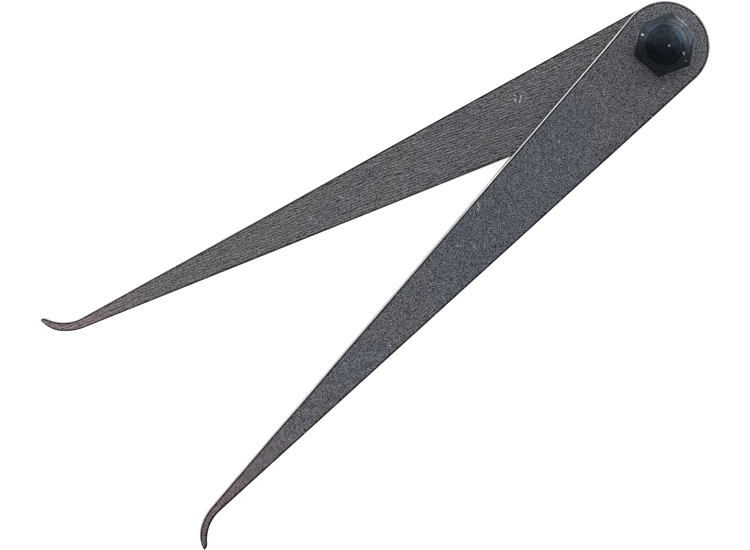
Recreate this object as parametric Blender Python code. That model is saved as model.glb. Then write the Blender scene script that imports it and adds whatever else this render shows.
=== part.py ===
"""Firm-joint inside caliper.

Two flat steel legs with outward-curled tips turn on one bolt. A stack of washers under a domed hexagon
nut gives the joint its steady friction.

Frame: metres, +Z up from the back of the bolt head to the nut. The origin is on the joint's axis, on the
flat back of the bolt head, and +X runs along the middle of the opening, from the joint to the tips.
"""
from math import asin, atan2, cos, pi, radians, sin, sqrt

import bmesh
import bpy

# Setting of the legs
OPENING = radians(20.4)             # angle between the legs' centre lines at rest

# Leg outline
LEG_THICKNESS = 0.0024
EDGE_CHAMFER = 0.0003               # broken edge round both faces
EYE_RADIUS = 0.0099                 # round end at the joint
CURL_START = 0.142                  # joint axis to the start of the curl
CURL_START_HALF_WIDTH = 0.00118
CURL_RADIUS = 0.0099                # centre line of the curled tip
CURL_ANGLE = radians(58)
TIP_HALF_WIDTH = 0.0010
CONTACT_LENGTH = 0.0046             # outer side of the curl, where it closes in on the point
HEEL_LENGTH = 0.0015                # hollow side, which rounds off close to the point

# Bolt
HEAD_RADIUS = 0.0070
HEAD_THICKNESS = 0.0018
HEAD_CHAMFER = 0.0004
NECK_WIDTH = 0.0070                 # square that locks the bolt in the rear leg
JOURNAL_RADIUS = 0.0034             # the front leg turns on this
THREAD_RADIUS = 0.003175            # quarter-inch thread, drawn plain
THREAD_FLAT = 0.0024                # axis to the flat that drives the keyed washer

# Washers
INNER_WASHER_RADIUS = 0.0093
INNER_WASHER_THICKNESS = 0.0006
SMALL_WASHER_RADIUS = 0.0062
OUTER_WASHER_THICKNESS = 0.0004
KEYED_WASHER_THICKNESS = 0.0006
SPRING_THICKNESS = 0.00035
SPRING_HEIGHT = 0.00055             # free height of the dished washer
SPRING_BORE_RADIUS = 0.0036

# Nut
NUT_ACROSS_FLATS = 0.0127
NUT_ANGLE = radians(43.7)           # direction of one corner
NUT_SHOULDER_HEIGHT = 0.0042        # base to the top of the corner chamfers
NUT_SHOULDER_RADIUS = 0.0064
NUT_CORNER_SLOPE = radians(38)
DOME_EDGE_RADIUS = 0.0046
DOME_EDGE_HEIGHT = 0.0048
DOME_RISE = 0.0016
NUT_BORE_DEPTH = 0.0046

# Fits
RUNNING_CLEARANCE = 0.00005         # on the radius, front leg on the journal, nut on the thread
STACK_GAP = 0.0001                  # between neighbours in the stack
LOCATING_CLEARANCE = 0.0001         # on the radius, washers on the bolt, and round the square neck
BOLT_END_ROOM = 0.0004              # bolt's end to the bottom of the nut's bore

# Facets
ROUND_SEGMENTS = 64
EYE_SEGMENTS = 44
CURL_SEGMENTS = 14
NOSE_SEGMENTS = 8
DOME_SEGMENTS = 7
SMOOTH_ANGLE = radians(28)

# Levels along the bolt
REAR_LEG_Z = HEAD_THICKNESS + STACK_GAP
INNER_WASHER_Z = REAR_LEG_Z + LEG_THICKNESS + STACK_GAP
FRONT_LEG_Z = INNER_WASHER_Z + INNER_WASHER_THICKNESS + STACK_GAP
OUTER_WASHER_Z = FRONT_LEG_Z + LEG_THICKNESS + STACK_GAP
KEYED_WASHER_Z = OUTER_WASHER_Z + OUTER_WASHER_THICKNESS + STACK_GAP
SPRING_Z = KEYED_WASHER_Z + KEYED_WASHER_THICKNESS + STACK_GAP
NUT_Z = SPRING_Z + SPRING_HEIGHT + STACK_GAP
NECK_TOP_Z = REAR_LEG_Z + LEG_THICKNESS - STACK_GAP
JOURNAL_TOP_Z = KEYED_WASHER_Z - STACK_GAP
BOLT_TOP_Z = NUT_Z + NUT_BORE_DEPTH - BOLT_END_ROOM


# ---------------------------------------------------------------- scene and materials

def clear_scene():
    for obj in list(bpy.data.objects):
        bpy.data.objects.remove(obj, do_unlink=True)


def make_material(name, color, metallic, roughness):
    material = bpy.data.materials.new(name)
    material.use_nodes = True
    shader = material.node_tree.nodes["Principled BSDF"]
    shader.inputs["Base Color"].default_value = (*color, 1.0)
    shader.inputs["Metallic"].default_value = metallic
    shader.inputs["Roughness"].default_value = roughness
    material.diffuse_color = (*color, 1.0)
    return material


def add_empty(name, angle):
    """An empty on the joint's axis, turned about it."""
    empty = bpy.data.objects.new(name, None)
    empty.empty_display_size = 0.01
    empty.rotation_euler = (0.0, 0.0, angle)
    bpy.context.scene.collection.objects.link(empty)
    return empty


def add_object(name, bm, parent, material=None):
    """Turn a bmesh into an object. Every mesh is drawn about the joint's axis."""
    bmesh.ops.recalc_face_normals(bm, faces=bm.faces)
    mesh = bpy.data.meshes.new(name)
    bm.to_mesh(mesh)
    bm.free()
    mesh.shade_smooth()
    mesh.set_sharp_from_angle(angle=SMOOTH_ANGLE)
    if material:
        mesh.materials.append(material)
    obj = bpy.data.objects.new(name, mesh)
    obj.parent = parent
    bpy.context.scene.collection.objects.link(obj)
    return obj


def combine(obj, tool, operation):
    """Apply a tool body to obj with a Boolean. The tool itself is only a guide."""
    modifier = obj.modifiers.new(tool.name, "BOOLEAN")
    modifier.operation = operation
    modifier.object = tool
    modifier.solver = "EXACT"
    tool.hide_render = True
    tool.display_type = "WIRE"


# ---------------------------------------------------------------- basic bodies

def stack_sections(sections):
    """Skin a list of closed outlines of equal length, lowest first, and cap both ends."""
    bm = bmesh.new()
    rings = [[bm.verts.new(point) for point in section] for section in sections]
    count = len(rings[0])
    for low, high in zip(rings, rings[1:]):
        for i in range(count):
            j = (i + 1) % count
            bm.faces.new((low[i], low[j], high[j], high[i]))
    bm.faces.new(list(reversed(rings[0])))
    bm.faces.new(rings[-1])
    return bm


def prism(outline, bottom, top):
    return stack_sections([[(x, y, z) for x, y in outline] for z in (bottom, top)])


def turned(profile, closed=False):
    """Turn a profile of (radius, height) about the axis. A closed profile makes a ring."""
    bm = bmesh.new()
    rings = []
    for radius, height in profile:
        if radius == 0.0:
            rings.append([bm.verts.new((0.0, 0.0, height))])
            continue
        turns = [2 * pi * k / ROUND_SEGMENTS for k in range(ROUND_SEGMENTS)]
        rings.append([bm.verts.new((radius * cos(a), radius * sin(a), height)) for a in turns])
    pairs = list(zip(rings, rings[1:]))
    if closed:
        pairs.append((rings[-1], rings[0]))
    for first, second in pairs:
        for k in range(ROUND_SEGMENTS):
            n = (k + 1) % ROUND_SEGMENTS
            corners = [first[k % len(first)], first[n % len(first)],
                       second[n % len(second)], second[k % len(second)]]
            bm.faces.new(list(dict.fromkeys(corners)))
    return bm


def ring(inner, outer, bottom, top):
    return turned([(inner, bottom), (outer, bottom), (outer, top), (inner, top)], closed=True)


def regular_polygon(sides, corner_radius, first_angle):
    angles = [first_angle + 2 * pi * k / sides for k in range(sides)]
    return [(corner_radius * cos(a), corner_radius * sin(a)) for a in angles]


def rectangle(x_low, x_high, half_height):
    return [(x_low, -half_height), (x_high, -half_height), (x_high, half_height), (x_low, half_height)]


# ---------------------------------------------------------------- legs

def leg_taper():
    """Half the angle between the straight edges, which touch the eye's circle."""
    reach = sqrt(CURL_START ** 2 + CURL_START_HALF_WIDTH ** 2)
    return asin(EYE_RADIUS / reach) - atan2(CURL_START_HALF_WIDTH, CURL_START)


def curl_side(hollow, inset):
    """Points of one side of the curl, from its start to just short of the point.

    The half-width shrinks a little along the curl, then closes in a rounded point. The outer side does so
    over a longer stretch than the hollow side.
    """
    closing_length, closing, roundness = (HEEL_LENGTH, 2.0, 0.5) if hollow else (CONTACT_LENGTH, 1.5, 0.75)
    closing_start = CURL_ANGLE - closing_length / CURL_RADIUS
    closing_turn = CURL_ANGLE - inset / CURL_RADIUS - closing_start
    steps = [(closing_start * k / CURL_SEGMENTS, 0.0) for k in range(CURL_SEGMENTS)]
    for k in range(NOSE_SEGMENTS):
        along = sin(pi / 2 * k / NOSE_SEGMENTS)
        steps.append((closing_start + closing_turn * along, along))

    points = []
    for turn, along in steps:
        slender = (1.0 - turn / CURL_ANGLE) ** 2
        half_width = TIP_HALF_WIDTH + (CURL_START_HALF_WIDTH - TIP_HALF_WIDTH) * slender - inset
        half_width *= (1.0 - along ** closing) ** roundness
        reach = CURL_RADIUS - half_width if hollow else CURL_RADIUS + half_width
        points.append((CURL_START + reach * sin(turn), CURL_RADIUS - reach * cos(turn)))
    return points


def leg_outline(inset):
    """Outline of a leg along +X that curls towards +Y, pulled in by inset all round."""
    radius = EYE_RADIUS - inset
    arc = pi + 2 * leg_taper()
    start = pi / 2 - leg_taper()
    eye = []
    for k in range(EYE_SEGMENTS + 1):
        angle = start + arc * k / EYE_SEGMENTS
        eye.append((radius * cos(angle), radius * sin(angle)))
    end_turn = CURL_ANGLE - inset / CURL_RADIUS
    point = (CURL_START + CURL_RADIUS * sin(end_turn), CURL_RADIUS * (1 - cos(end_turn)))
    return eye + curl_side(False, inset) + [point] + list(reversed(curl_side(True, inset)))


def build_leg(name, bottom, bend, parent, material):
    """A leg plate with broken edges. bend is +1 or -1, for a tip that curls towards +Y or -Y."""
    levels = ((bottom, EDGE_CHAMFER), (bottom + EDGE_CHAMFER, 0.0),
              (bottom + LEG_THICKNESS - EDGE_CHAMFER, 0.0), (bottom + LEG_THICKNESS, EDGE_CHAMFER))
    sections = [[(x, bend * y, z) for x, y in leg_outline(inset)] for z, inset in levels]
    return add_object(name, stack_sections(sections), parent, material)


def build_front_leg(parent, material):
    leg = build_leg("front_leg", FRONT_LEG_Z, 1, parent, material)
    bore_radius = JOURNAL_RADIUS + RUNNING_CLEARANCE
    bore = turned([(0.0, FRONT_LEG_Z - LEG_THICKNESS), (bore_radius, FRONT_LEG_Z - LEG_THICKNESS),
                   (bore_radius, FRONT_LEG_Z + 2 * LEG_THICKNESS), (0.0, FRONT_LEG_Z + 2 * LEG_THICKNESS)])
    combine(leg, add_object("front_leg_bore", bore, parent), "DIFFERENCE")


def build_rear_leg(parent, material):
    leg = build_leg("rear_leg", REAR_LEG_Z, -1, parent, material)
    half = NECK_WIDTH / 2 + LOCATING_CLEARANCE
    hole = prism(rectangle(-half, half, half), REAR_LEG_Z - LEG_THICKNESS, REAR_LEG_Z + 2 * LEG_THICKNESS)
    combine(leg, add_object("rear_leg_square_hole", hole, parent), "DIFFERENCE")


# ---------------------------------------------------------------- bolt and washers

def build_bolt(parent, material):
    """Round low head, square neck, journal, then a thread with one flat along it."""
    profile = [(0.0, 0.0), (HEAD_RADIUS - HEAD_CHAMFER, 0.0), (HEAD_RADIUS, HEAD_CHAMFER),
               (HEAD_RADIUS, HEAD_THICKNESS), (JOURNAL_RADIUS, HEAD_THICKNESS),
               (JOURNAL_RADIUS, JOURNAL_TOP_Z), (THREAD_RADIUS, JOURNAL_TOP_Z),
               (THREAD_RADIUS, BOLT_TOP_Z), (0.0, BOLT_TOP_Z)]
    bolt = add_object("joint_bolt", turned(profile), parent, material)

    half = NECK_WIDTH / 2
    neck = prism(rectangle(-half, half, half), HEAD_THICKNESS / 2, NECK_TOP_Z)
    combine(bolt, add_object("bolt_square_neck", neck, parent), "UNION")

    flat = prism(rectangle(THREAD_FLAT, 2 * THREAD_RADIUS, 2 * THREAD_RADIUS),
                 JOURNAL_TOP_Z, BOLT_TOP_Z + HEAD_THICKNESS)
    combine(bolt, add_object("bolt_thread_flat", flat, parent), "DIFFERENCE")


def build_friction_washers(parent, material):
    bore = JOURNAL_RADIUS + LOCATING_CLEARANCE
    add_object("inner_friction_washer",
               ring(bore, INNER_WASHER_RADIUS, INNER_WASHER_Z, INNER_WASHER_Z + INNER_WASHER_THICKNESS),
               parent, material)
    add_object("outer_friction_washer",
               ring(bore, SMALL_WASHER_RADIUS, OUTER_WASHER_Z, OUTER_WASHER_Z + OUTER_WASHER_THICKNESS),
               parent, material)


def build_keyed_washer(parent, material):
    """A disc whose bore has one flat, which sits on the flat of the thread."""
    disc = turned([(0.0, KEYED_WASHER_Z), (SMALL_WASHER_RADIUS, KEYED_WASHER_Z),
                   (SMALL_WASHER_RADIUS, KEYED_WASHER_Z + KEYED_WASHER_THICKNESS),
                   (0.0, KEYED_WASHER_Z + KEYED_WASHER_THICKNESS)])
    washer = add_object("keyed_washer", disc, parent, material)

    bore_radius = THREAD_RADIUS + LOCATING_CLEARANCE
    flat_at = THREAD_FLAT + LOCATING_CLEARANCE
    flat_angle = asin(sqrt(bore_radius ** 2 - flat_at ** 2) / bore_radius)
    arc = 2 * pi - 2 * flat_angle
    angles = [flat_angle + arc * k / ROUND_SEGMENTS for k in range(ROUND_SEGMENTS + 1)]
    d_shape = [(bore_radius * cos(a), bore_radius * sin(a)) for a in angles]
    bore = prism(d_shape, KEYED_WASHER_Z - LEG_THICKNESS, KEYED_WASHER_Z + LEG_THICKNESS)
    combine(washer, add_object("keyed_washer_bore", bore, parent), "DIFFERENCE")


def build_spring_washer(parent, material):
    """A dished ring: its outer edge bears on the keyed washer, its inner edge on the nut."""
    rise = SPRING_HEIGHT - SPRING_THICKNESS
    add_object("spring_washer",
               turned([(SPRING_BORE_RADIUS, SPRING_Z + rise), (SMALL_WASHER_RADIUS, SPRING_Z),
                       (SMALL_WASHER_RADIUS, SPRING_Z + SPRING_THICKNESS),
                       (SPRING_BORE_RADIUS, SPRING_Z + SPRING_HEIGHT)], closed=True),
               parent, material)


# ---------------------------------------------------------------- nut

def dome_profile():
    """Spherical cap from its edge circle to the crown, as (radius, height) above the nut's base."""
    sphere = (DOME_EDGE_RADIUS ** 2 + DOME_RISE ** 2) / (2 * DOME_RISE)
    centre = DOME_EDGE_HEIGHT + DOME_RISE - sphere
    edge_angle = asin(DOME_EDGE_RADIUS / sphere)
    angles = [edge_angle * (1 - k / DOME_SEGMENTS) for k in range(DOME_SEGMENTS)]
    points = [(sphere * sin(a), centre + sphere * cos(a)) for a in angles]
    return points + [(0.0, DOME_EDGE_HEIGHT + DOME_RISE)]


def build_nut(parent, material):
    """Hexagon with chamfered corners, a shallow turned shoulder, a closed dome and a blind bore."""
    corner_radius = NUT_ACROSS_FLATS / 2 / cos(pi / 6)
    top = NUT_Z + DOME_EDGE_HEIGHT + DOME_RISE
    hexagon = prism(regular_polygon(6, corner_radius, 0.0), NUT_Z, top + STACK_GAP)
    nut = add_object("joint_nut", hexagon, parent, material)

    skirt_radius = corner_radius + HEAD_CHAMFER
    skirt_height = NUT_SHOULDER_HEIGHT - (skirt_radius - NUT_SHOULDER_RADIUS) * sin(NUT_CORNER_SLOPE) \
        / cos(NUT_CORNER_SLOPE)
    form = [(0.0, -HEAD_CHAMFER), (skirt_radius, -HEAD_CHAMFER), (skirt_radius, skirt_height),
            (NUT_SHOULDER_RADIUS, NUT_SHOULDER_HEIGHT)] + dome_profile()
    form = [(radius, NUT_Z + height) for radius, height in form]
    combine(nut, add_object("nut_turned_form", turned(form), parent), "INTERSECT")

    bore_radius = THREAD_RADIUS + RUNNING_CLEARANCE
    bore = turned([(0.0, NUT_Z - LEG_THICKNESS), (bore_radius, NUT_Z - LEG_THICKNESS),
                   (bore_radius, NUT_Z + NUT_BORE_DEPTH), (0.0, NUT_Z + NUT_BORE_DEPTH)])
    combine(nut, add_object("nut_blind_bore", bore, parent), "DIFFERENCE")


# ---------------------------------------------------------------- assembly

def main():
    clear_scene()
    leg_steel = make_material("leg_steel", (0.135, 0.137, 0.145), 0.9, 0.42)
    black_oxide = make_material("black_oxide", (0.018, 0.022, 0.028), 0.6, 0.32)
    washer_steel = make_material("washer_steel", (0.42, 0.42, 0.43), 1.0, 0.35)
    fibre = make_material("fibre", (0.23, 0.07, 0.035), 0.0, 0.6)

    rear_side = add_empty("rear_side", -OPENING / 2)
    front_side = add_empty("front_side", OPENING / 2)
    nut_axis = add_empty("nut_axis", NUT_ANGLE)

    build_rear_leg(rear_side, leg_steel)
    build_front_leg(front_side, leg_steel)
    build_bolt(rear_side, black_oxide)
    build_friction_washers(rear_side, fibre)
    build_keyed_washer(rear_side, washer_steel)
    build_spring_washer(rear_side, washer_steel)
    build_nut(nut_axis, black_oxide)


main()
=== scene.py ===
"""Looks of a firm-joint inside caliper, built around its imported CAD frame.

Every visible piece is a fine mesh that stands for one CAD node and rides on that node's body. Heights come
from the frame. Outlines repeat the CAD's own dimensions, in metres, with finer roundings and smaller gaps.
The nut's top slopes a little more than the CAD's, with the same height in all.
"""

from math import asin, atan2, cos, exp, pi, radians, sin, sqrt, tan

import bmesh
import bpy
from mathutils import Matrix, Vector, noise


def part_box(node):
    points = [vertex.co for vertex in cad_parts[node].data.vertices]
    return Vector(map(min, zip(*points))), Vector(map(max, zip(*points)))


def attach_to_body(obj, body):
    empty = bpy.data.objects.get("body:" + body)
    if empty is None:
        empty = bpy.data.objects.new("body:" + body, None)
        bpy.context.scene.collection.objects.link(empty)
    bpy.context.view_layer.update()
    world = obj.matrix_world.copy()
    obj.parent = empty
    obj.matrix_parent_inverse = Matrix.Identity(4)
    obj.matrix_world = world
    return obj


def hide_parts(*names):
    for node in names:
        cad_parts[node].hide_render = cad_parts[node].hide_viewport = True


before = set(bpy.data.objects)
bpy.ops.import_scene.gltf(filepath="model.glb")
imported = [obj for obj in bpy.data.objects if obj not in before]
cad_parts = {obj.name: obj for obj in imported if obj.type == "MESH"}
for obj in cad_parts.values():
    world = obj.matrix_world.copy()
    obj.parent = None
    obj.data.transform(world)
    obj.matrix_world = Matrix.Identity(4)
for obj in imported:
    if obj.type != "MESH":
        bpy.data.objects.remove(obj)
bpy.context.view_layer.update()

MM = 0.001

# Bodies
ROOT_BODY = "rear_leg_and_bolt"
FRONT_BODY = "front_leg"
NUT_BODY = "nut"

# Setting of the legs
OPENING = radians(20.4)

# Leg outline, as in the CAD
EYE_RADIUS = 9.9 * MM
CURL_START = 142 * MM
CURL_START_HALF_WIDTH = 1.18 * MM
CURL_RADIUS = 9.9 * MM
CURL_ANGLE = radians(58)
TIP_HALF_WIDTH = 1.0 * MM
CONTACT_LENGTH = 4.6 * MM
HEEL_LENGTH = 1.5 * MM

# Leg edges, broken by hand and so not all alike. Each side has a table of places along the leg and values
# there: 1 is the side towards which the leg curls, -1 the other. The depth of a broken edge is its "width"
# times its "steepness". "lean" is how far the top of the side wall stands in from its foot. "shine" and
# "wall" are how bare the broken edge and the side wall are. Below a half, they keep the leg's dark colour
# there and lay a painted shade line on it, near black where they are lowest.
FRONT_EDGES = {
    "width": {
        1: ((0.0, 0.18 * MM), (24 * MM, 0.09 * MM), (100 * MM, 0.09 * MM), (142 * MM, 0.14 * MM)),
        -1: ((44 * MM, 0.27 * MM), (58 * MM, 0.42 * MM)),
    },
    "steepness": {
        1: ((0.0, 1.35),),
        -1: ((46 * MM, 0.85), (56 * MM, 1.35)),
    },
    "lean": {
        1: ((0.0, 0.0),),
        -1: ((0.0, 0.14 * MM), (10 * MM, 0.26 * MM), (44 * MM, 0.26 * MM), (56 * MM, 0.17 * MM),
             (142 * MM, 0.12 * MM)),
    },
    "shine": {
        1: ((0.0, 0.36), (20 * MM, 0.05)),
        -1: ((0.0, 0.36), (8 * MM, 1.0), (48 * MM, 1.0), (58 * MM, 0.55)),
    },
    "wall": {
        1: ((0.0, 0.42),),
        # Painted shadow: this side wall is left dark from 5 to 40 mm along the leg, beside the rear leg.
        -1: ((0.0, 0.45), (5 * MM, 0.0), (40 * MM, 0.0), (50 * MM, 0.52)),
    },
}
REAR_EDGES = {
    "width": {
        1: ((45 * MM, 0.05 * MM), (100 * MM, 0.28 * MM)),
        -1: ((0.0, 0.05 * MM),),
    },
    "steepness": {1: ((0.0, 1.35),), -1: ((0.0, 1.35),)},
    "lean": {1: ((0.0, 0.0),), -1: ((0.0, 0.0),)},
    "shine": {1: ((45 * MM, 0.05), (100 * MM, 0.5)), -1: ((0.0, 0.05),)},
    "wall": {1: ((0.0, 0.42),), -1: ((0.0, 0.42),)},
}
EYE_BLEND = radians(55)             # turn round the eye over which one side's edge becomes the other's
EDGE_AT_POINT = 0.20 * MM
EDGE_WANDER = 0.2                   # share of its width that a broken edge wanders
EDGE_WANDER_RATE = 60.0             # cells of that wander's noise per metre
EDGE_ROUNDNESS = 1.6                # 1 is a flat chamfer, 2 a quarter circle
WALL_MARGIN = 0.12 * MM             # side wall next to each broken edge, over which its finish changes
PAINTED_SHADE_LINE_WIDTH = 0.36 * MM               # face next to the edge, over which the painted shade line fades in
OUTLINE_CLEARANCE = 0.005 * MM      # keeps the finer outline inside that of the CAD
BORE_RADIUS = 3.45 * MM
SQUARE_HOLE_WIDTH = 7.2 * MM

# Bolt
HEAD_RADIUS = 7.0 * MM
HEAD_THICKNESS = 1.87 * MM          # takes up most of the CAD's gap under the rear leg
HEAD_CHAMFER = 0.45 * MM
HEAD_ROUNDING = 0.20 * MM           # at the two ends of the chamfer
HEAD_TOP_ROUNDING = 0.12 * MM
NECK_WIDTH = 7.0 * MM
NECK_SHORT_OF_LEG = 0.1 * MM        # from the top of the square neck to the top of the rear leg
JOURNAL_SHORT_OF_KEY = 0.1 * MM     # from the top of the journal to the keyed washer
JOURNAL_RADIUS = 3.4 * MM
THREAD_RADIUS = 3.175 * MM
THREAD_PITCH = 1.27 * MM
THREAD_DEPTH = 0.55 * MM
THREAD_END_CHAMFER = 0.3 * MM

# Washers
WASHER_SPREAD = 0.035 * MM          # a washer's faces stand this far into the CAD's gaps
WASHER_ROUNDING = 0.12 * MM
FIBRE_BORE_RADIUS = 3.5 * MM
KEY_BORE_RADIUS = 3.3 * MM
SPRING_BORE_RADIUS = 3.6 * MM
SPRING_DISH = 0.20 * MM

# Nut
NUT_INRADIUS = 6.35 * MM
NUT_ANGLE = radians(43.7)
NUT_CORNER_ROUNDING = 0.30 * MM
NUT_SHOULDER_RADIUS = 6.4 * MM
NUT_SHOULDER_HEIGHT = 4.0 * MM
NUT_CORNER_SLOPE = radians(38)
DOME_EDGE_RADIUS = 4.6 * MM
DOME_EDGE_HEIGHT = 4.95 * MM
DOME_RISE = 1.45 * MM
NUT_BORE_RADIUS = THREAD_RADIUS + 0.05 * MM
NUT_BORE_DEPTH = 4.6 * MM
NUT_EDGE_FILLET = 0.12 * MM
NUT_FOOT_CHAMFER = 0.2 * MM
NUT_GROOVES = (                     # radius, depth and width of each turned groove
    (3.10 * MM, 0.004 * MM, 0.06 * MM),
    (3.65 * MM, 0.005 * MM, 0.06 * MM),
    (4.42 * MM, 0.012 * MM, 0.07 * MM),
    (5.14 * MM, 0.022 * MM, 0.10 * MM),
    (5.60 * MM, 0.010 * MM, 0.06 * MM),
    (6.02 * MM, 0.014 * MM, 0.07 * MM),
)
NUT_NICKS = (                       # distance from the axis, direction from a corner, and size
    (5.45 * MM, radians(256.6), 0.22 * MM),
    (5.25 * MM, radians(256.0), 0.17 * MM),
    (0.99 * MM, radians(89.0), 0.20 * MM),
    (4.40 * MM, radians(77.5), 0.20 * MM),
    (4.75 * MM, radians(74.5), 0.15 * MM),
    (5.85 * MM, radians(64.0), 0.14 * MM),
)
NICK_DEPTH = 0.05 * MM
BEAD_RADIUS = 4.76 * MM             # rubbed ring round the dome
DIRTY_GROOVE_RADIUS = 5.14 * MM

# Finish
BARE_STEEL = (0.70, 0.70, 0.70)
STAINED_BARE_STEEL = (0.55, 0.54, 0.53)
SCRATCHED_STEEL = (0.80, 0.80, 0.82)
WORN_AND_HIGHLIT_STEEL = (0.62, 0.64, 0.66)
# Each of these is a pair of colours that a cloud mixes.
# The dome's pair is darker than the flat ring's: painted shade that stands for the dark camera reflected in
# the dome.
DOME_OXIDE_WITH_PAINTED_REFLECTION = ((0.0185, 0.0228, 0.0325), (0.0172, 0.0232, 0.0310))
FLAT_OXIDE = ((0.0305, 0.0366, 0.0460), (0.0340, 0.0394, 0.0500))
WASHER_STEEL = ((0.40, 0.40, 0.41), (0.24, 0.23, 0.23))
FIBRE = ((0.200, 0.060, 0.032), (0.120, 0.040, 0.026))
FLOOR_PAPER = ((0.93, 0.93, 0.93), (0.96, 0.96, 0.96))
LINE_PITCH = 0.60 * MM              # from one grinding line to the next
LINE_WANDER = 0.60 * MM             # how far the lines sway as they run
FRONT_LOOK = {
    "place": (1.85, 0.55, 1.15),
    "line_direction": radians(-40),
    "line_gain": 0.15,
    "speckle_gain": 14.0,
    "grey": (0.112, 0.115, 0.128),
    "blue": (0.099, 0.109, 0.134),
    "brown": (0.182, 0.146, 0.160),
    "brown_from": (112 * MM, 152 * MM),
    "tip_gain": 1.22,
    "tip_calm": 0.0,
    "marks": (                      # x and y in the leg, direction, half length and half width
        (53.8 * MM, -5.0 * MM, radians(70), 0.75 * MM, 0.09 * MM),
        (54.6 * MM, -4.4 * MM, radians(75), 0.55 * MM, 0.08 * MM),
        (31.5 * MM, -2.0 * MM, radians(64), 0.50 * MM, 0.09 * MM),
        (63.5 * MM, -2.0 * MM, radians(-20), 0.35 * MM, 0.10 * MM),
        (61.0 * MM, 0.8 * MM, radians(80), 0.40 * MM, 0.09 * MM),
        (95.0 * MM, 0.6 * MM, radians(60), 0.30 * MM, 0.08 * MM),
    ),
}
REAR_LOOK = {
    "place": (0.74, 0.22, 0.46),
    "line_direction": radians(-4),
    "line_gain": 3.1,
    "speckle_gain": 15.5,
    "grey": (0.124, 0.125, 0.131),
    "blue": (0.117, 0.120, 0.132),
    "brown": (0.225, 0.180, 0.184),
    "brown_from": (128 * MM, 146 * MM),
    "tip_gain": 1.28,
    "tip_calm": 0.28,
    "marks": (
        (35.0 * MM, -3.3 * MM, radians(80), 0.55 * MM, 0.14 * MM),
        (34.2 * MM, -2.7 * MM, radians(40), 0.45 * MM, 0.13 * MM),
        (34.7 * MM, -4.4 * MM, radians(110), 0.40 * MM, 0.12 * MM),
        (33.6 * MM, -3.4 * MM, radians(75), 0.60 * MM, 0.13 * MM),
        (36.1 * MM, -4.0 * MM, radians(20), 0.30 * MM, 0.10 * MM),
        (48.5 * MM, 1.5 * MM, radians(60), 0.30 * MM, 0.09 * MM),
    ),
}

# Detail of the meshes
EYE_SEGMENTS = 120
EDGE_STATIONS = 72
CURL_SEGMENTS = 26
NOSE_SEGMENTS = 14
BEVEL_SEGMENTS = 6
ROUND_SEGMENTS = 180
NUT_SIDE_SEGMENTS = 48
NUT_EDGE_STEPS = 4
DOME_RINGS = 48
SHOULDER_RINGS = 48

# Picture
VIEW_TARGET = Vector((81.3 * MM, 3.9 * MM, 7.5 * MM))   # in mid-picture, on top of the front leg
VIEW_ROLL = radians(144.4)          # which way the picture's right-hand side points in the frame
VIEW_DISTANCE = 2.5
VIEW_LEAN = radians(2)              # the camera stands this far to the right of straight above
VIEW_WIDTH = 165 * MM               # width of the picture at the target
VIEW_CLIP = (0.01, 20)
SENSOR_WIDTH_MM = 36
FLOOR_HALF_SIZE = 20
FLOOR_GAP = 0.02 * MM
FLOOR_GLOW = 0.75                   # lightens the shadows on it
LIGHT_TARGET = Vector((40 * MM, 0.0, 5 * MM))
LIGHT_DISTANCE = 1.0
SOFTBOXES = (                       # direction in the picture, elevation, width, height and radiance
    ("softbox_right", radians(40), radians(24), 0.90, 0.46, 4.1),
    ("softbox_left", radians(136), radians(18), 0.90, 0.35, 1.5),
)
ROOM_BRIGHT_SIDE = radians(75)      # as seen in the picture
ROOM_BRIGHT = 1.5
ROOM_DIM = 0.30
ROOM_DIM_UP_TO = -0.35              # cosine of the angle from the bright side
ROOM_BRIGHT_FROM = 0.45
ROOM_OVERHEAD = 0.69
ROOM_OVERHEAD_BEGINS = radians(58)  # elevation
ROOM_OVERHEAD_WHOLE = radians(78)


# ---------------------------------------------------------------- meshes

def finish_object(name, bm, turn=0.0, smooth_angle=radians(30)):
    """Make an object of a mesh that is drawn along +X and turned about the joint's axis."""
    bmesh.ops.recalc_face_normals(bm, faces=bm.faces)
    bmesh.ops.rotate(bm, verts=bm.verts, cent=(0.0, 0.0, 0.0), matrix=Matrix.Rotation(turn, 3, "Z"))
    mesh = bpy.data.meshes.new(name)
    bm.to_mesh(mesh)
    bm.free()
    mesh.shade_smooth()
    mesh.set_sharp_from_angle(angle=smooth_angle)
    obj = bpy.data.objects.new(name, mesh)
    bpy.context.scene.collection.objects.link(obj)
    return obj


def bridge(bm, low, high):
    """Quads between two closed loops of vertices. A loop of one vertex is a pole."""
    count = max(len(low), len(high))
    for i in range(count):
        j = (i + 1) % count
        corners = [low[i % len(low)], low[j % len(low)], high[j % len(high)], high[i % len(high)]]
        bm.faces.new(list(dict.fromkeys(corners)))


def loop_edges(bm, loop):
    return [bm.edges.get((a, b)) or bm.edges.new((a, b)) for a, b in zip(loop, loop[1:] + loop[:1])]


def set_attribute(obj, name, values):
    attribute = obj.data.attributes.new(name, "FLOAT", "POINT")
    attribute.data.foreach_set("value", values)


# ---------------------------------------------------------------- leg shape

def leg_taper():
    """Half the angle between the straight edges, which touch the eye's circle."""
    reach = sqrt(CURL_START ** 2 + CURL_START_HALF_WIDTH ** 2)
    return asin(EYE_RADIUS / reach) - atan2(CURL_START_HALF_WIDTH, CURL_START)


def smooth_step(value, low, high):
    t = min(1.0, max(0.0, (value - low) / (high - low)))
    return t * t * (3 - 2 * t)


def along_table(x, table):
    """Value at a place along the leg, between the places of a table."""
    value = table[0][1]
    for (start, first), (end, second) in zip(table, table[1:]):
        value += (second - first) * smooth_step(x, start, end)
    return value


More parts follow.
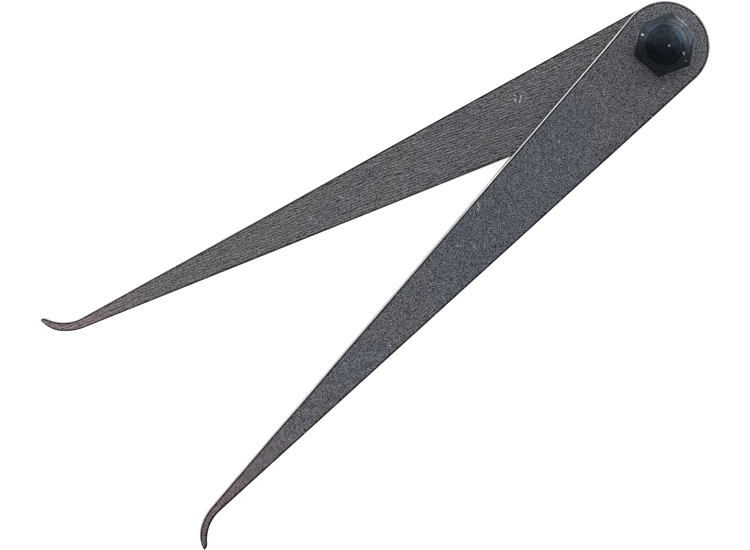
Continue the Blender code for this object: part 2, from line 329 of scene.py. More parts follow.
def edge_value(x, y, sides):
    """Value at a point of the outline, from the table of its side. The eye passes from side 1 to side -1."""
    if x < 0.0:
        turned = smooth_step(atan2(y, x) % (2 * pi), pi / 2, pi / 2 + EYE_BLEND)
        return along_table(0.0, sides[1]) * (1 - turned) + along_table(0.0, sides[-1]) * turned
    from_curl_centre = sqrt((x - CURL_START) ** 2 + (y - CURL_RADIUS) ** 2)
    inner = from_curl_centre > CURL_RADIUS if x > CURL_START else y < 0.0
    return along_table(x, sides[-1 if inner else 1])


def edge_width(x, y, widths):
    """Width of the broken edge at a point of the outline, with its wander."""
    row = 0.4 if y > 0.0 else -7.3
    wander = noise.noise(Vector((x * EDGE_WANDER_RATE, row, 3.7)))
    return edge_value(x, y, widths) * (1.0 + EDGE_WANDER * wander * smooth_step(x, 0.0, EYE_RADIUS))


def curl_side_points(hollow, inset, point_inset):
    """One side of the curl, from its start to just short of the point."""
    closing_length, closing, roundness = (HEEL_LENGTH, 2.0, 0.5) if hollow else (CONTACT_LENGTH, 1.5, 0.75)
    closing_start = CURL_ANGLE - closing_length / CURL_RADIUS
    closing_turn = CURL_ANGLE - point_inset / CURL_RADIUS - closing_start
    steps = [(closing_start * k / CURL_SEGMENTS, 0.0) for k in range(CURL_SEGMENTS)]
    for k in range(NOSE_SEGMENTS):
        along = sin(pi / 2 * k / NOSE_SEGMENTS)
        steps.append((closing_start + closing_turn * along, along))
    points = []
    for turn, along in steps:
        slender = (1.0 - turn / CURL_ANGLE) ** 2
        half_width = TIP_HALF_WIDTH + (CURL_START_HALF_WIDTH - TIP_HALF_WIDTH) * slender - inset
        half_width *= (1.0 - along ** closing) ** roundness
        reach = CURL_RADIUS - half_width if hollow else CURL_RADIUS + half_width
        points.append((CURL_START + reach * sin(turn), CURL_RADIUS - reach * cos(turn)))
    return points


def leg_outline(share, lean, extra, edges):
    """Outline along +X, curling towards +Y, pulled in by shares of the edge's width and lean plus extra."""
    extra += OUTLINE_CLEARANCE
    taper = leg_taper()
    arc = pi + 2 * taper
    radius = EYE_RADIUS - extra

    def pull(x, y):
        return share * edge_width(x, y, edges["width"]) + lean * edge_value(x, y, edges["lean"])

    eye = []
    for k in range(EYE_SEGMENTS + 1):
        angle = pi / 2 - taper + arc * k / EYE_SEGMENTS
        reach = radius - pull(min(0.0, cos(angle)), sin(angle))
        eye.append((reach * cos(angle), reach * sin(angle)))

    length = (CURL_START - EYE_RADIUS * sin(taper)) / cos(taper)
    straight = {}
    for side in (-1, 1):
        stations = []
        for k in range(1, EDGE_STATIONS):
            reach = length * k / EDGE_STATIONS
            offset = radius - pull(reach, side)
            stations.append((offset * sin(taper) + reach * cos(taper),
                             side * (offset * cos(taper) - reach * sin(taper))))
        straight[side] = stations

    point_inset = share * EDGE_AT_POINT + extra
    end_turn = CURL_ANGLE - point_inset / CURL_RADIUS
    point = (CURL_START + CURL_RADIUS * sin(end_turn), CURL_RADIUS * (1 - cos(end_turn)))
    curl = {}
    for side in (-1, 1):
        inset = pull(CURL_START, side) + extra
        curl[side] = curl_side_points(side == 1, inset, point_inset)
    return eye + straight[-1] + curl[-1] + [point] + list(reversed(curl[1])) + list(reversed(straight[1]))


def edge_profile():
    """Points over the broken edge from the face to the side wall, as shares of its width (inset, depth)."""
    power = 2 / EDGE_ROUNDNESS
    angles = [pi / 2 * k / BEVEL_SEGMENTS for k in range(BEVEL_SEGMENTS + 1)]
    return [(1 - sin(angle) ** power, 1 - cos(angle) ** power) for angle in angles]


def square_points(width):
    half = width / 2
    return [(half, half), (-half, half), (-half, -half), (half, -half)]


def hole_points(shape):
    if shape == "square":
        return square_points(SQUARE_HOLE_WIDTH)
    angles = [2 * pi * k / ROUND_SEGMENTS for k in range(ROUND_SEGMENTS)]
    return [(BORE_RADIUS * cos(a), BORE_RADIUS * sin(a)) for a in angles]


def painted_shade_line_strength(step, shining):
    """How strong the painted shade line is: all at the end of the face, less further out where the metal is
    bare.
    """
    if step < 0:
        return 0.0
    return 1.0 if step == 0 else max(0.0, 1.0 - 2.0 * shining)


def build_leg(name, node, bend, hole, turn, edges):
    """A leg plate with broken edges, curling towards +Y or -Y as bend is 1 or -1.

    Attributes mark the bare edge and a painted shade line: the darker rim of the face, and dark edges and
    walls.
    """
    bottom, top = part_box(node)[0].z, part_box(node)[1].z
    profile = list(enumerate(edge_profile()))
    bm = bmesh.new()

    full = leg_outline(0.0, 0.0, 0.0, edges)
    pulled_in = leg_outline(1.0, 0.0, 0.0, edges)
    edge_depths = [sqrt((x - u) ** 2 + (y - v) ** 2) * edge_value(x, y, edges["steepness"])
                   for (x, y), (u, v) in zip(full, pulled_in)]
    shine = [edge_value(x, y, edges["shine"]) for x, y in full]
    wall_shine = [edge_value(x, y, edges["wall"]) for x, y in full]

    # From the upper face over the side wall to the lower face. A level is its share of the edge's width, its
    # share of the lean, its extra inset, its height, its share of the edge's depth below that, and its step.
    face, wall = -1, BEVEL_SEGMENTS + 1
    levels = [(1.0, 1.0, PAINTED_SHADE_LINE_WIDTH, top, 0.0, face)]
    levels += [(share, 1.0, 0.0, top, depth, k) for k, (share, depth) in profile]
    levels.append((0.0, 0.95, 0.0, top - WALL_MARGIN, 1.0, wall))
    levels.append((0.0, 0.05, 0.0, bottom + WALL_MARGIN, -1.0, wall))
    levels += [(share, 0.0, 0.0, bottom, -depth, k) for k, (share, depth) in reversed(profile)]
    levels.append((1.0, 0.0, PAINTED_SHADE_LINE_WIDTH, bottom, 0.0, face))

    loops, bare, painted_shade_line = [], [], []
    for share, lean, extra, height, depth, step in levels:
        loop = []
        outline = leg_outline(share, lean, extra, edges)
        for (x, y), edge_depth, shining, wall_shining in zip(outline, edge_depths, shine, wall_shine):
            loop.append(bm.verts.new((x, bend * y, height - depth * edge_depth)))
            here = wall_shining if step == wall else shining
            bare.append(here if step > 0 else 0.0)
            painted_shade_line.append(painted_shade_line_strength(step, here))
        loops.append(loop)
    for upper, lower in zip(loops, loops[1:]):
        bridge(bm, upper, lower)

    ends = []
    for height in (top, bottom):
        ends.append([bm.verts.new((x, y, height)) for x, y in hole_points(hole)])
        bare += [0.0] * len(ends[-1])
        painted_shade_line += [0.0] * len(ends[-1])
    bridge(bm, ends[0], ends[1])
    for loop, end in ((loops[0], ends[0]), (loops[-1], ends[1])):
        boundary = loop_edges(bm, loop) + loop_edges(bm, end)
        bmesh.ops.triangle_fill(bm, edges=boundary, use_beauty=True)

    obj = finish_object(name, bm, turn, radians(40))
    set_attribute(obj, "bare", bare)
    set_attribute(obj, "painted_shade_line", painted_shade_line)
    return obj


# ---------------------------------------------------------------- turned pieces

def turned_mesh(profile, closed=False, segments=ROUND_SEGMENTS):
    """Turn a (radius, height) profile about the axis."""
    bm = bmesh.new()
    loops = []
    for radius, height in profile:
        if radius == 0.0:
            loops.append([bm.verts.new((0.0, 0.0, height))])
            continue
        turns = [2 * pi * k / segments for k in range(segments)]
        loops.append([bm.verts.new((radius * cos(a), radius * sin(a), height)) for a in turns])
    for first, second in zip(loops, loops[1:]):
        bridge(bm, first, second)
    if closed:
        bridge(bm, loops[-1], loops[0])
    return bm


def rounded_corner(corner, before, after, radius, steps=5):
    """Replace one corner of a profile by a fillet."""
    p, a, b = Vector(corner), Vector(before), Vector(after)
    u, v = (a - p).normalized(), (b - p).normalized()
    half = u.angle(v) / 2
    reach = radius / tan(half)
    centre = p + (u + v).normalized() * (radius / sin(half))
    start, end = p + u * reach - centre, p + v * reach - centre
    sweep = start.angle_signed(end)
    points = []
    for k in range(steps + 1):
        arm = start.copy()
        arm.rotate(Matrix.Rotation(-sweep * k / steps, 2))
        points.append(tuple(centre + arm))
    return points


def rounded_profile(points, radii, closed=False):
    """A profile with a fillet at every corner that has a radius."""
    count = len(points)
    result = []
    for i, (point, radius) in enumerate(zip(points, radii)):
        inner = closed or 0 < i < count - 1
        if radius and inner:
            result += rounded_corner(point, points[i - 1], points[(i + 1) % count], radius)
        else:
            result.append(point)
    return result


def build_washer(name, node, bore, dish):
    """A ring with softened edges that fills part of the gaps to its neighbours. dish lifts its bore."""
    low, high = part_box(node)
    outer = (high.x - low.x) / 2
    bottom, top = low.z - WASHER_SPREAD, high.z + WASHER_SPREAD
    points = [(bore, bottom + dish), (outer, bottom), (outer, top - dish), (bore, top)]
    at_bore, at_rim = WASHER_ROUNDING / 2, WASHER_ROUNDING
    profile = rounded_profile(points, [at_bore, at_rim, at_rim, at_bore], closed=True)
    return finish_object(name, turned_mesh(profile, closed=True))


# ---------------------------------------------------------------- nut

def hexagon_reach(angle):
    """Distance from the axis to the side of the hexagon, with rounded upright corners."""
    sector = pi / 3
    off_corner = abs((angle + sector / 2) % sector - sector / 2)
    off_flat = sector / 2 - off_corner
    rounding = NUT_CORNER_ROUNDING
    if NUT_INRADIUS * tan(off_flat) <= (NUT_INRADIUS - rounding) * tan(sector / 2):
        return NUT_INRADIUS / cos(off_flat)
    centre = (NUT_INRADIUS - rounding) / cos(sector / 2)
    return centre * cos(off_corner) + sqrt(rounding ** 2 - (centre * sin(off_corner)) ** 2)


def nut_top(radius):
    """Height of the nut's turned top above its base, before its grooves."""
    if radius < DOME_EDGE_RADIUS:
        sphere = (DOME_EDGE_RADIUS ** 2 + DOME_RISE ** 2) / (2 * DOME_RISE)
        return DOME_EDGE_HEIGHT + DOME_RISE - sphere + sqrt(sphere ** 2 - radius ** 2)
    if radius < NUT_SHOULDER_RADIUS:
        along = (radius - DOME_EDGE_RADIUS) / (NUT_SHOULDER_RADIUS - DOME_EDGE_RADIUS)
        return DOME_EDGE_HEIGHT + (NUT_SHOULDER_HEIGHT - DOME_EDGE_HEIGHT) * along
    return NUT_SHOULDER_HEIGHT - (radius - NUT_SHOULDER_RADIUS) * tan(NUT_CORNER_SLOPE)


def groove_depth(radius):
    return sum(depth * exp(-((radius - at) / width) ** 2) for at, depth, width in NUT_GROOVES)


def nick(x, y):
    """Strength of the nearest nick, 1 at its middle."""
    strength = 0.0
    for reach, angle, size in NUT_NICKS:
        away = sqrt((x - reach * cos(angle)) ** 2 + (y - reach * sin(angle)) ** 2)
        strength = max(strength, exp(-(away / size) ** 2))
    return strength


def build_nut(name, node):
    """Domed hexagon nut. Attributes mark its nicks, and its edges, which a spanner rubs and which carry a
    painted highlight.
    """
    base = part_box(node)[0].z
    segments = 6 * NUT_SIDE_SEGMENTS
    angles = [2 * pi * k / segments for k in range(segments)]
    reach = [hexagon_reach(a) for a in angles]
    bm = bmesh.new()
    loops = [[bm.verts.new((0.0, 0.0, base + nut_top(0.0)))]]
    worn, rubbed_and_highlit_edge = [0.0], [0.0]

    def add_loop(radii, heights, rubbed_and_highlit=0.0, nicked=False):
        loop = []
        for r, h, a in zip(radii, heights, angles):
            x, y = r * cos(a), r * sin(a)
            strength = nick(x, y) if nicked else 0.0
            loop.append(bm.verts.new((x, y, base + h - strength * NICK_DEPTH)))
            worn.append(strength)
            rubbed_and_highlit_edge.append(rubbed_and_highlit)
        loops.append(loop)

    fillet = NUT_EDGE_FILLET
    turned_limit = NUT_INRADIUS - fillet
    rings = [DOME_EDGE_RADIUS * k / DOME_RINGS for k in range(1, DOME_RINGS + 1)]
    step = (turned_limit - DOME_EDGE_RADIUS) / SHOULDER_RINGS
    rings += [DOME_EDGE_RADIUS + step * k for k in range(1, SHOULDER_RINGS + 1)]
    for radius in rings:
        add_loop([radius] * segments, [nut_top(radius) - groove_depth(radius)] * segments, nicked=True)
    for k in range(1, NUT_EDGE_STEPS + 1):
        share = k / NUT_EDGE_STEPS
        radii = [turned_limit + (r - fillet - turned_limit) * share for r in reach]
        add_loop(radii, [nut_top(r) for r in radii], rubbed_and_highlit=0.3 * share)
    for k in range(1, NUT_EDGE_STEPS + 1):
        angle = pi / 2 * k / NUT_EDGE_STEPS
        radii = [r - fillet * (1 - sin(angle)) for r in reach]
        heights = [nut_top(r - fillet) - fillet * (1 - cos(angle)) for r in reach]
        add_loop(radii, heights, rubbed_and_highlit=1.0 if k < NUT_EDGE_STEPS else 0.5)
    add_loop(reach, [nut_top(r - fillet) - 3 * fillet for r in reach])
    foot = NUT_FOOT_CHAMFER
    add_loop(reach, [foot] * segments, rubbed_and_highlit=0.5)
    add_loop([r - foot for r in reach], [0.0] * segments, rubbed_and_highlit=0.5)
    for height in (0.0, NUT_BORE_DEPTH):
        add_loop([NUT_BORE_RADIUS] * segments, [height] * segments)
    loops.append([bm.verts.new((0.0, 0.0, base + NUT_BORE_DEPTH))])
    worn.append(0.0)
    rubbed_and_highlit_edge.append(0.0)
    for first, second in zip(loops, loops[1:]):
        bridge(bm, first, second)
    obj = finish_object(name, bm, NUT_ANGLE, radians(28))
    set_attribute(obj, "worn", worn)
    set_attribute(obj, "rubbed_and_highlit_edge", rubbed_and_highlit_edge)
    return obj


# ---------------------------------------------------------------- bolt

def build_bolt(name, node, turn):
    """Round head with softened edges, square neck, journal and threaded end."""
    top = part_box(node)[1].z
    neck_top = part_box("rear_leg")[1].z - NECK_SHORT_OF_LEG
    journal_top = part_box("keyed_washer")[0].z - JOURNAL_SHORT_OF_KEY
    points = [(0.0, 0.0), (HEAD_RADIUS - HEAD_CHAMFER, 0.0), (HEAD_RADIUS, HEAD_CHAMFER),
              (HEAD_RADIUS, HEAD_THICKNESS), (JOURNAL_RADIUS, HEAD_THICKNESS)]
    profile = rounded_profile(points, [0.0, HEAD_ROUNDING, HEAD_ROUNDING, HEAD_TOP_ROUNDING, 0.0])
    profile += [(JOURNAL_RADIUS, journal_top), (THREAD_RADIUS, journal_top)]
    height = journal_top + THREAD_PITCH / 2
    while height < top - THREAD_PITCH:
        profile += [(THREAD_RADIUS, height), (THREAD_RADIUS - THREAD_DEPTH, height + THREAD_PITCH / 2)]
        height += THREAD_PITCH
    profile += [(THREAD_RADIUS, height), (THREAD_RADIUS, top - THREAD_END_CHAMFER)]
    profile += [(THREAD_RADIUS - THREAD_END_CHAMFER, top), (0.0, top)]
    bm = turned_mesh(profile)

    square = square_points(NECK_WIDTH)
    low = [bm.verts.new((x, y, HEAD_THICKNESS + 0.01 * MM)) for x, y in square]
    high = [bm.verts.new((x, y, neck_top)) for x, y in square]
    bridge(bm, low, high)
    bm.faces.new(high)
    bm.faces.new(list(reversed(low)))
    return finish_object(name, bm, turn)


# ---------------------------------------------------------------- node helpers

class Nodes:
    """Short calls for building one material's node tree. turn undoes the turn of the piece's mesh."""

    def __init__(self, name, turn=0.0):
        self.material = bpy.data.materials.new(name)
        self.material.use_nodes = True
        self.tree = self.material.node_tree
        self.shader = self.tree.nodes["Principled BSDF"]
        self.object = self.tree.nodes.new("ShaderNodeTexCoord").outputs["Object"]
        self.turn = turn
        self.coordinates = self.along(0.0)

    def link(self, source, target):
        self.tree.links.new(source, target)

    def put(self, socket, value):
        if isinstance(value, bpy.types.NodeSocket):
            self.link(value, socket)
        else:
            socket.default_value = value

    def along(self, direction):
        """The piece's own coordinates, turned so that X runs in a direction of its plane."""
        node = self.tree.nodes.new("ShaderNodeMapping")
        node.inputs["Rotation"].default_value = (0.0, 0.0, -self.turn - direction)
        self.link(self.object, node.inputs["Vector"])
        return node.outputs["Vector"]

    def wander(self, source, scale, reach):
        """Coordinates whose Y strays to either side in slow waves."""
        node = self.tree.nodes.new("ShaderNodeSeparateXYZ")
        self.link(source, node.inputs[0])
        sway = self.math("SUBTRACT", self.noise((scale, scale, scale), source=source, detail=1.0), 0.5)
        join = self.tree.nodes.new("ShaderNodeCombineXYZ")
        self.link(node.outputs[0], join.inputs[0])
        self.link(self.math("ADD", node.outputs[1], self.math("MULTIPLY", sway, reach)), join.inputs[1])
        self.link(node.outputs[2], join.inputs[2])
        return join.outputs[0]

    def bands(self, source, pitch, place):
        """Wavy lines along X that fade in and out, about a middle of 0.5."""
        node = self.tree.nodes.new("ShaderNodeSeparateXYZ")
        self.link(source, node.inputs[0])
        stray = self.noise((650.0, 1500.0, 650.0), place, source, detail=1.0)
        phase = self.math("MULTIPLY", node.outputs[1], 2 * pi / pitch)
        wave = self.math("SINE", self.math("ADD", phase, self.math("MULTIPLY", stray, 7.0)))
        strength = self.ramp(self.noise((420.0, 1100.0, 420.0), place, source), 0.35, 0.65, 0.1, 0.5)
        return self.math("ADD", self.math("MULTIPLY", wave, strength), 0.5)

    def marks(self, marks):
        """One inside any of some small ellipses, each (x, y, direction, half length, half width)."""
        total = 0.0
        for x, y, direction, half_length, half_width in marks:
            mapping = self.tree.nodes.new("ShaderNodeMapping")
            mapping.vector_type = "TEXTURE"
            mapping.inputs["Location"].default_value = (x, y, 0.0)
            mapping.inputs["Rotation"].default_value = (0.0, 0.0, direction)
            mapping.inputs["Scale"].default_value = (half_length, half_width, 1.0)
            self.link(self.coordinates, mapping.inputs["Vector"])
            length = self.tree.nodes.new("ShaderNodeVectorMath")
            length.operation = "LENGTH"
            self.link(mapping.outputs["Vector"], length.inputs[0])
            inside = self.ramp(length.outputs["Value"], 0.6, 1.1, 1.0, 0.0)
            total = self.math("MAXIMUM", inside, total)
        return total

    def noise(self, scale, place=(0.0, 0.0, 0.0), source=None, detail=2.0, rough=0.5):
        """Noise with its own number of cells per metre along each axis."""
        mapping = self.tree.nodes.new("ShaderNodeMapping")
        mapping.inputs["Scale"].default_value = scale
        mapping.inputs["Location"].default_value = place
        self.link(source or self.coordinates, mapping.inputs["Vector"])
        node = self.tree.nodes.new("ShaderNodeTexNoise")
        node.inputs["Scale"].default_value = 1.0
        node.inputs["Detail"].default_value = detail
        node.inputs["Roughness"].default_value = rough
        self.link(mapping.outputs["Vector"], node.inputs["Vector"])
        return node.outputs["Fac"]

    def math(self, operation, first, second=0.0):
        node = self.tree.nodes.new("ShaderNodeMath")
        node.operation = operation
        self.put(node.inputs[0], first)
        self.put(node.inputs[1], second)
        return node.outputs["Value"]

    def ramp(self, value, low, high, to_low=0.0, to_high=1.0):
        """Map low..high to to_low..to_high, clamped."""
        node = self.tree.nodes.new("ShaderNodeMapRange")
        self.put(node.inputs["Value"], value)
        node.inputs["From Min"].default_value = low
        node.inputs["From Max"].default_value = high
        node.inputs["To Min"].default_value = to_low
        node.inputs["To Max"].default_value = to_high
        return node.outputs["Result"]

    def vary(self, *terms):
        """One plus each noise's swing about its middle, times its gain; kept between 0.08 and 3."""
        total = 1.0
        for value, gain in terms:
            swing = self.math("MULTIPLY", self.math("SUBTRACT", value, 0.5), gain)
            total = self.math("ADD", swing, total)
        return self.ramp(total, 0.08, 3.0, 0.08, 3.0)

    def mix(self, factor, first, second):
        """Mix two colours, each a socket or an (r, g, b)."""
        node = self.tree.nodes.new("ShaderNodeMix")
        node.data_type = "RGBA"
        self.put(node.inputs["Factor"], factor)
        for socket, value in ((node.inputs[6], first), (node.inputs[7], second)):
            self.put(socket, value if isinstance(value, bpy.types.NodeSocket) else (*value, 1.0))
        return node.outputs[2]

    def blend(self, factor, first, second):
        """Mix two numbers."""
        node = self.tree.nodes.new("ShaderNodeMix")
        for socket, value in zip(node.inputs[0:1] + node.inputs[2:4], (factor, first, second)):
            self.put(socket, value)
        return node.outputs[0]

    def scaled(self, color, factor):
        """A colour multiplied by a value."""
        node = self.tree.nodes.new("ShaderNodeVectorMath")
        node.operation = "SCALE"
        self.put(node.inputs[0], color)
        self.put(node.inputs["Scale"], factor)
        return node.outputs["Vector"]

    def attribute(self, name):
        node = self.tree.nodes.new("ShaderNodeAttribute")
        node.attribute_name = name
        return node.outputs["Fac"]

    def split(self):
        node = self.tree.nodes.new("ShaderNodeSeparateXYZ")
        self.link(self.coordinates, node.inputs[0])
        return node.outputs

    def radial(self):
        """Distance from the axis, and coordinates made of that distance, the height and nothing."""
        x, y, z = self.split()
        radius = self.math("SQRT", self.math("ADD", self.math("MULTIPLY", x, x), self.math("MULTIPLY", y, y)))
        node = self.tree.nodes.new("ShaderNodeCombineXYZ")
        self.link(radius, node.inputs[0])
        self.link(z, node.inputs[1])
        return radius, node.outputs[0]

    def bump(self, height, distance, strength=1.0):
        node = self.tree.nodes.new("ShaderNodeBump")
        node.inputs["Strength"].default_value = strength
        node.inputs["Distance"].default_value = distance
        self.link(height, node.inputs["Height"])
        return node.outputs["Normal"]

    def finish(self, color, roughness, normal, metallic=0.0):
        self.link(color, self.shader.inputs["Base Color"])
        self.link(roughness, self.shader.inputs["Roughness"])
        self.link(normal, self.shader.inputs["Normal"])
        self.shader.inputs["Metallic"].default_value = metallic
        return self.material


def paint(obj, material):
    obj.data.materials.clear()
    obj.data.materials.append(material)


# ---------------------------------------------------------------- materials

def leg_material(name, turn, look):
    """Dark heat-treated steel, brown towards the tip, with bare broken edges.

    Thin wavy grinding lines run along the leg. The speckle is what shot or an acid dip leaves.
    """
    n = Nodes(name, turn)
    place = look["place"]
    x = n.split()[0]

    ground = n.wander(n.along(look["line_direction"]), 260.0, LINE_WANDER)
    lines = n.bands(ground, LINE_PITCH, place)
    speckle = n.noise((4800.0, 5200.0, 4800.0), place, detail=1.0, rough=0.6)
    patches = n.noise((50.0, 70.0, 50.0), place, detail=3.0, rough=0.55)
    blotches = n.noise((700.0, 900.0, 700.0), place, detail=2.0, rough=0.5)

    color = n.mix(n.ramp(patches, 0.40, 0.68), look["grey"], look["blue"])
    color = n.scaled(color, n.ramp(x, 50 * MM, 150 * MM, 1.0, look["tip_gain"]))
    # Painted light: the face is lightened, up to 1.3 times, towards the round end of the eye.
    color = n.scaled(color, n.ramp(x, -9 * MM, 8 * MM, 1.30, 1.0))
    browned = n.ramp(n.math("ADD", x, n.math("MULTIPLY", patches, 0.015)), *look["brown_from"])
    color = n.mix(browned, color, look["brown"])
    value = n.vary((lines, look["line_gain"]), (speckle, look["speckle_gain"]), (blotches, 0.5))
    value = n.blend(n.ramp(x, 60 * MM, 140 * MM, 0.0, look["tip_calm"]), value, 1.0)
    bare = n.attribute("bare")
    value = n.blend(n.ramp(bare, 0.0, 0.45), value, 1.0)
    # Painted shade: a dark line along the rim of the face, and over the edges and side walls that are not
    # bare.
    value = n.math("MULTIPLY", value, n.ramp(n.attribute("painted_shade_line"), 0.05, 0.38, 1.0, 0.05))
    color = n.scaled(color, value)

    scratch = n.noise((900.0, 5200.0, 900.0), place, n.along(radians(-58)), detail=0.0)
    other = n.noise((4800.0, 1000.0, 1000.0), place, n.along(radians(-12)), detail=0.0)
    scratches = n.math("MAXIMUM", n.ramp(scratch, 0.82, 0.86), n.ramp(other, 0.84, 0.88))
    scratches = n.math("MULTIPLY", n.math("MAXIMUM", scratches, n.marks(look["marks"])), 0.8)
    color = n.mix(scratches, color, SCRATCHED_STEEL)

    filed = n.noise((110.0, 110.0, 6500.0), place, detail=2.0, rough=0.6)
    bare_color = n.scaled(n.mix(filed, BARE_STEEL, STAINED_BARE_STEEL), n.vary((filed, 1.2), (speckle, 1.2)))
    color = n.mix(bare, color, bare_color)
    roughness = n.blend(bare, n.ramp(speckle, 0.3, 0.7, 0.36, 0.48), 0.28)

    relief = n.math("ADD", n.math("MULTIPLY", lines, 0.5 * look["line_gain"]), speckle)
    return n.finish(color, roughness, n.bump(relief, 0.02 * MM, 0.35), 1.0)


def black_oxide_material(name):
    """Blue-black oxide over turned steel: fine rings, and bare metal in the nicks and on the edges, there
    both spanner wear and a painted highlight.
    """
    n = Nodes(name)
    radius, rings_at = n.radial()
    rings = n.noise((3300.0, 900.0, 1.0), source=rings_at, detail=1.0, rough=0.5)
    fine_rings = n.noise((9500.0, 900.0, 1.0), source=rings_at, detail=1.0, rough=0.5)
    cloud = n.noise((240.0, 240.0, 240.0), detail=3.0, rough=0.6)
    hue = n.noise((170.0, 170.0, 170.0), (1.3, 0.2, 0.0), detail=2.0, rough=0.5)
    grain = n.noise((4200.0, 4200.0, 4200.0), detail=2.0, rough=0.6)
    broken = n.noise((900.0, 900.0, 900.0), (2.1, 0.7, 0.0), detail=1.0)
    arcs = n.math("MULTIPLY", n.math("SUBTRACT", rings, 0.5), n.ramp(broken, 0.40, 0.65, 0.2, 2.4))
    arcs = n.math("MULTIPLY", arcs, n.ramp(radius, 4.0 * MM, 5.0 * MM, 1.0, 1.8))

    # Painted shade: the dome is coloured darker than the flat ring, for the dark reflection it shows.
    dome_with_painted_reflection = n.mix(n.ramp(hue, 0.42, 0.60), *DOME_OXIDE_WITH_PAINTED_REFLECTION)
    flat = n.mix(n.ramp(cloud, 0.40, 0.65), *FLAT_OXIDE)
    outside_dome = n.ramp(radius, DOME_EDGE_RADIUS - 0.25 * MM, DOME_EDGE_RADIUS + 0.05 * MM)
    color = n.mix(outside_dome, dome_with_painted_reflection, flat)
    from_bead = n.math("ABSOLUTE", n.math("SUBTRACT", radius, BEAD_RADIUS))
    from_groove = n.math("ABSOLUTE", n.math("SUBTRACT", radius, DIRTY_GROOVE_RADIUS))
    color = n.scaled(color, n.ramp(from_bead, 0.08 * MM, 0.22 * MM, 1.35, 1.0))
    color = n.scaled(color, n.ramp(from_groove, 0.04 * MM, 0.18 * MM, 0.66, 1.0))
    color = n.scaled(color, n.vary((grain, 2.4), (broken, 1.2), (n.math("ADD", arcs, 0.5), 1.0)))
    # The edges take bare steel both as spanner wear and as a painted highlight.
    rubbed_and_highlit = n.ramp(n.math("MULTIPLY", n.attribute("rubbed_and_highlit_edge"), cloud), 0.44, 0.60, 0.0, 0.5)
    nicked = n.ramp(n.math("MULTIPLY", n.attribute("worn"), n.math("ADD", grain, 0.5)), 0.35, 0.60)
    color = n.mix(n.math("MAXIMUM", rubbed_and_highlit, nicked), color, WORN_AND_HIGHLIT_STEEL)

    roughness = n.ramp(grain, 0.3, 0.7, 0.22, 0.34)
    roughness = n.math("ADD", roughness, n.math("MULTIPLY", outside_dome, 0.06))
    pitted = n.math("MULTIPLY", n.ramp(radius, 1.2 * MM, 3.2 * MM, 3.0, 0.0), n.noise((1300.0, 1300.0, 1.0)))
    relief = n.math("ADD", n.math("MULTIPLY", fine_rings, 0.25), rings)
    relief = n.math("ADD", relief, n.math("MULTIPLY", grain, 0.25))
    relief = n.math("ADD", relief, pitted)
    return n.finish(color, roughness, n.bump(relief, 0.01 * MM, 0.6), 1.0)


def washer_steel_material(name):
    """Plain turned steel, a little stained."""
    n = Nodes(name)
    lines = n.noise((60.0, 60.0, 9000.0), detail=2.0, rough=0.6)
    cloud = n.noise((500.0, 500.0, 500.0), detail=3.0, rough=0.6)
    color = n.mix(n.ramp(cloud, 0.35, 0.7), *WASHER_STEEL)
    color = n.scaled(color, n.ramp(lines, 0.3, 0.7, 0.8, 1.2))
    return n.finish(color, n.ramp(cloud, 0.3, 0.7, 0.30, 0.48), n.bump(lines, 0.01 * MM, 0.5), 1.0)


def fibre_material(name):
    """Vulcanised fibre: layered red-brown sheet, oily and matt."""
    n = Nodes(name)
    layers = n.noise((400.0, 400.0, 11000.0), detail=3.0, rough=0.6)
    cloud = n.noise((700.0, 700.0, 700.0), detail=4.0, rough=0.65)
    color = n.mix(n.ramp(cloud, 0.3, 0.7), *FIBRE)
    color = n.scaled(color, n.ramp(layers, 0.3, 0.7, 0.7, 1.25))
    return n.finish(color, n.ramp(cloud, 0.3, 0.7, 0.50, 0.72), n.bump(layers, 0.03 * MM, 0.6))


# ---------------------------------------------------------------- camera, floor and light

def add_camera():
    data = bpy.data.cameras.new("camera")
    data.sensor_width = SENSOR_WIDTH_MM
    data.lens = SENSOR_WIDTH_MM * VIEW_DISTANCE / VIEW_WIDTH
    data.clip_start, data.clip_end = VIEW_CLIP
    camera = bpy.data.objects.new("camera", data)
    turn = Matrix.Rotation(VIEW_ROLL, 4, "Z") @ Matrix.Rotation(VIEW_LEAN, 4, "Y")
    back = Matrix.Translation((0.0, 0.0, VIEW_DISTANCE))
    camera.matrix_world = Matrix.Translation(VIEW_TARGET) @ turn @ back
    bpy.context.scene.collection.objects.link(camera)
    bpy.context.scene.camera = camera


def add_floor():
    bm = bmesh.new()
    square = ((-1, -1), (1, -1), (1, 1), (-1, 1))
    bm.faces.new([bm.verts.new((x * FLOOR_HALF_SIZE, y * FLOOR_HALF_SIZE, -FLOOR_GAP)) for x, y in square])
    floor = finish_object("floor", bm)
    n = Nodes("floor_paper")
    tone = n.noise((40.0, 40.0, 40.0), detail=3.0)
    n.link(n.mix(tone, *FLOOR_PAPER), n.shader.inputs["Base Color"])
    n.shader.inputs["Roughness"].default_value = 0.9
    n.shader.inputs["Specular IOR Level"].default_value = 0.1
    n.shader.inputs["Emission Color"].default_value = (1.0, 1.0, 1.0, 1.0)
    n.shader.inputs["Emission Strength"].default_value = FLOOR_GLOW
    floor.data.materials.append(n.material)


def add_softbox(name, picture_direction, elevation, width, height, radiance):
    """An area light that faces the legs. picture_direction is measured as seen in the picture."""
    azimuth = picture_direction + VIEW_ROLL
    direction = Vector((cos(azimuth) * cos(elevation), sin(azimuth) * cos(elevation), sin(elevation)))
    data = bpy.data.lights.new(name, "AREA")
    data.shape = "RECTANGLE"
    data.size, data.size_y = width, height
    data.energy = radiance * width * height * pi
    light = bpy.data.objects.new(name, data)
    light.location = LIGHT_TARGET + direction * LIGHT_DISTANCE
    light.rotation_euler = direction.to_track_quat("Z", "Y").to_euler()
    bpy.context.scene.collection.objects.link(light)


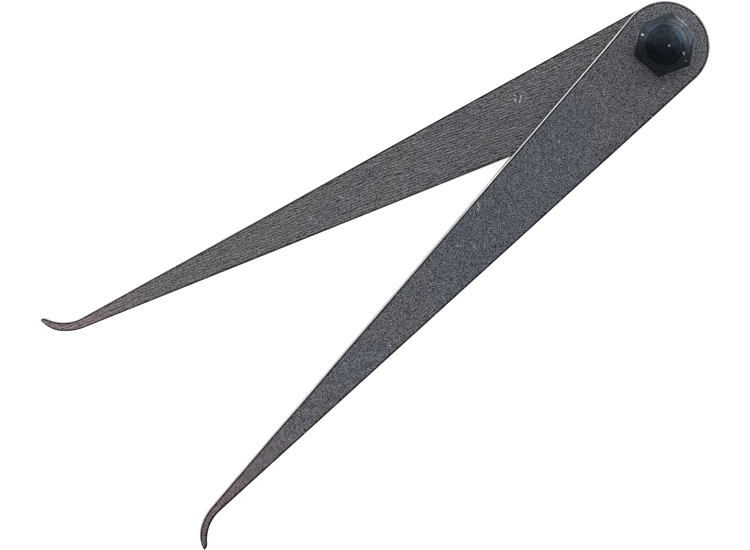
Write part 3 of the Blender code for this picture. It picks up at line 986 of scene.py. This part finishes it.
def add_room():
    """A room that is bright on one side, dim on the other and middling overhead."""
    world = bpy.data.worlds.new("studio")
    world.use_nodes = True
    tree = world.node_tree
    background = tree.nodes["Background"]
    background.inputs["Color"].default_value = (1.0, 1.0, 1.0, 1.0)
    direction = tree.nodes.new("ShaderNodeTexCoord").outputs["Generated"]

    side = tree.nodes.new("ShaderNodeVectorMath")
    side.operation = "DOT_PRODUCT"
    azimuth = ROOM_BRIGHT_SIDE + VIEW_ROLL
    side.inputs[1].default_value = (cos(azimuth), sin(azimuth), 0.0)
    tree.links.new(direction, side.inputs[0])
    across = tree.nodes.new("ShaderNodeMapRange")
    across.interpolation_type = "SMOOTHSTEP"
    tree.links.new(side.outputs["Value"], across.inputs["Value"])
    across.inputs["From Min"].default_value = ROOM_DIM_UP_TO
    across.inputs["From Max"].default_value = ROOM_BRIGHT_FROM
    across.inputs["To Min"].default_value = ROOM_DIM
    across.inputs["To Max"].default_value = ROOM_BRIGHT

    split = tree.nodes.new("ShaderNodeSeparateXYZ")
    tree.links.new(direction, split.inputs[0])
    overhead = tree.nodes.new("ShaderNodeMapRange")
    overhead.interpolation_type = "SMOOTHSTEP"
    tree.links.new(split.outputs["Z"], overhead.inputs["Value"])
    overhead.inputs["From Min"].default_value = sin(ROOM_OVERHEAD_BEGINS)
    overhead.inputs["From Max"].default_value = sin(ROOM_OVERHEAD_WHOLE)
    level = tree.nodes.new("ShaderNodeMix")
    tree.links.new(overhead.outputs["Result"], level.inputs[0])
    tree.links.new(across.outputs["Result"], level.inputs[2])
    level.inputs[3].default_value = ROOM_OVERHEAD
    tree.links.new(level.outputs[0], background.inputs["Strength"])
    bpy.context.scene.world = world


# ---------------------------------------------------------------- assembly

def attach(obj, body, node):
    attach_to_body(obj, body)
    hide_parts(node)


def build_caliper():
    rear_turn, front_turn = -OPENING / 2, OPENING / 2
    rear = build_leg("rear_leg_plate", "rear_leg", -1, "square", rear_turn, REAR_EDGES)
    paint(rear, leg_material("ground_steel_rear", rear_turn, REAR_LOOK))
    attach(rear, ROOT_BODY, "rear_leg")

    front = build_leg("front_leg_plate", "front_leg", 1, "round", front_turn, FRONT_EDGES)
    paint(front, leg_material("ground_steel_front", front_turn, FRONT_LOOK))
    attach(front, FRONT_BODY, "front_leg")

    oxide = black_oxide_material("black_oxide")
    bolt = build_bolt("bolt_with_square_neck", "joint_bolt", rear_turn)
    paint(bolt, oxide)
    attach(bolt, ROOT_BODY, "joint_bolt")

    nut = build_nut("domed_nut", "joint_nut")
    paint(nut, oxide)
    attach(nut, NUT_BODY, "joint_nut")

    fibre = fibre_material("vulcanised_fibre")
    steel = washer_steel_material("turned_washer_steel")
    for name, node, bore, dish, material, slot in (
            ("fibre_disc_between_legs", "inner_friction_washer", FIBRE_BORE_RADIUS, 0.0, fibre, "fibre"),
            ("fibre_disc_under_key", "outer_friction_washer", FIBRE_BORE_RADIUS, 0.0, fibre, "fibre"),
            ("keyed_steel_disc", "keyed_washer", KEY_BORE_RADIUS, 0.0, steel, "washer_steel"),
            ("dished_spring_disc", "spring_washer", SPRING_BORE_RADIUS, SPRING_DISH, steel, "washer_steel")):
        washer = build_washer(name, node, bore, dish)
        paint(washer, material)
        attach(washer, ROOT_BODY, node)


build_caliper()
add_camera()
add_floor()
add_room()
for softbox in SOFTBOXES:
    add_softbox(*softbox)
bpy.context.scene.view_settings.view_transform = "Standard"
